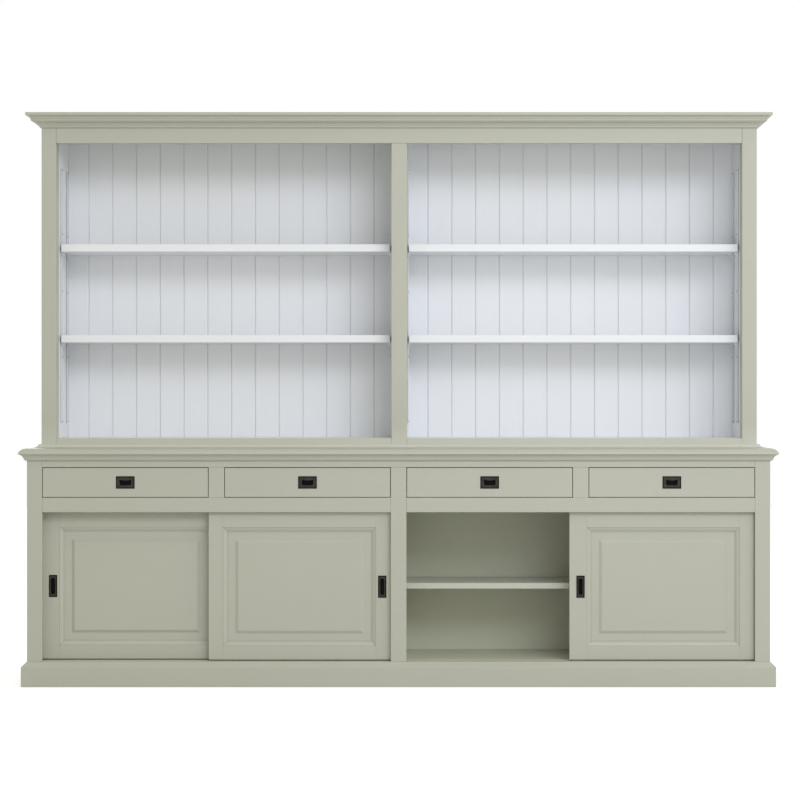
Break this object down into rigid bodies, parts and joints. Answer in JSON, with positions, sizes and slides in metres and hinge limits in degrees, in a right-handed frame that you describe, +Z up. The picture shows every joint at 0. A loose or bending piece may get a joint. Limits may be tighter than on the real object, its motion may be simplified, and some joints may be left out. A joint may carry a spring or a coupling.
{
  "type": "display cabinet",
  "caption": "Wide painted display cabinet: open hutch with adjustable shelves above a base with drawers and bypass sliding panel doors.",
  "frame": {"origin": "centre of the footprint's box on the floor", "axes": "+X to the viewer's right along the cabinet, +Y to the back, +Z up"},
  "size_m": [2.9, 0.47, 2.205],
  "materials": {
    "paint": "satin sage grey paint over pine",
    "white_paint": "satin white paint over pine",
    "bare_wood": "clear finished pine",
    "pull_metal": "dark antique finish",
    "shelf_metal": "zinc plated"
  },
  "bodies": {
    "carcase": {"plinth": "paint", "base_side_left": "paint", "base_side_right": "paint", "base_divider": "paint", "base_floor": "paint", "base_back": "paint", "base_stiles": "paint", "base_rails": "paint", "drawer_muntins": "paint", "drawer_partitions": "bare_wood", "drawer_deck": "paint", "drawer_runners": "bare_wood", "door_tracks": "paint", "door_jambs": "paint", "base_shelf_left": "paint", "base_shelf_right": "paint", "base_shelf_pins": "shelf_metal", "worktop": "paint", "worktop_cove": "paint", "upper_side_left": "paint", "upper_side_right": "paint", "upper_divider": "paint", "upper_linings": "white_paint", "upper_floor": "white_paint", "upper_roof": "paint", "upper_stiles": "paint", "upper_rails": "paint", "back_boards": "white_paint", "shelf_left_upper": "white_paint", "shelf_left_lower": "white_paint", "shelf_right_upper": "white_paint", "shelf_right_lower": "white_paint", "shelf_standards": "shelf_metal", "shelf_clips": "shelf_metal", "cornice": "paint", "foot_moulding": "paint"},
    "drawer_1": {"drawer_1_front": "paint", "drawer_1_box": "bare_wood", "drawer_1_pull": "pull_metal"},
    "drawer_2": {"drawer_2_front": "paint", "drawer_2_box": "bare_wood", "drawer_2_pull": "pull_metal"},
    "drawer_3": {"drawer_3_front": "paint", "drawer_3_box": "bare_wood", "drawer_3_pull": "pull_metal"},
    "drawer_4": {"drawer_4_front": "paint", "drawer_4_box": "bare_wood", "drawer_4_pull": "pull_metal"},
    "door_1": {"door_1_frame": "paint", "door_1_panel": "paint", "door_1_pull": "pull_metal"},
    "door_2": {"door_2_frame": "paint", "door_2_panel": "paint", "door_2_pull": "pull_metal"},
    "door_3": {"door_3_frame": "paint", "door_3_panel": "paint", "door_3_pull": "pull_metal"},
    "door_4": {"door_4_frame": "paint", "door_4_panel": "paint", "door_4_pull": "pull_metal"}
  },
  "joints": [
    {"name": "drawer_1_slide", "type": "slide", "parent": "carcase", "child": "drawer_1", "axis": [0, -1, 0], "range_m": [0, 0.3]},
    {"name": "drawer_2_slide", "type": "slide", "parent": "carcase", "child": "drawer_2", "axis": [0, -1, 0], "range_m": [0, 0.3]},
    {"name": "drawer_3_slide", "type": "slide", "parent": "carcase", "child": "drawer_3", "axis": [0, -1, 0], "range_m": [0, 0.3]},
    {"name": "drawer_4_slide", "type": "slide", "parent": "carcase", "child": "drawer_4", "axis": [0, -1, 0], "range_m": [0, 0.3]},
    {"name": "door_1_slide", "type": "slide", "parent": "carcase", "child": "door_1", "axis": [1, 0, 0], "range_m": [0, 0.644]},
    {"name": "door_2_slide", "type": "slide", "parent": "carcase", "child": "door_2", "axis": [1, 0, 0], "range_m": [-0.644, 0]},
    {"name": "door_3_slide", "type": "slide", "parent": "carcase", "child": "door_3", "axis": [1, 0, 0], "range_m": [-0.6335, 0.0105]},
    {"name": "door_4_slide", "type": "slide", "parent": "carcase", "child": "door_4", "axis": [1, 0, 0], "range_m": [-0.644, 0]}
  ]
}
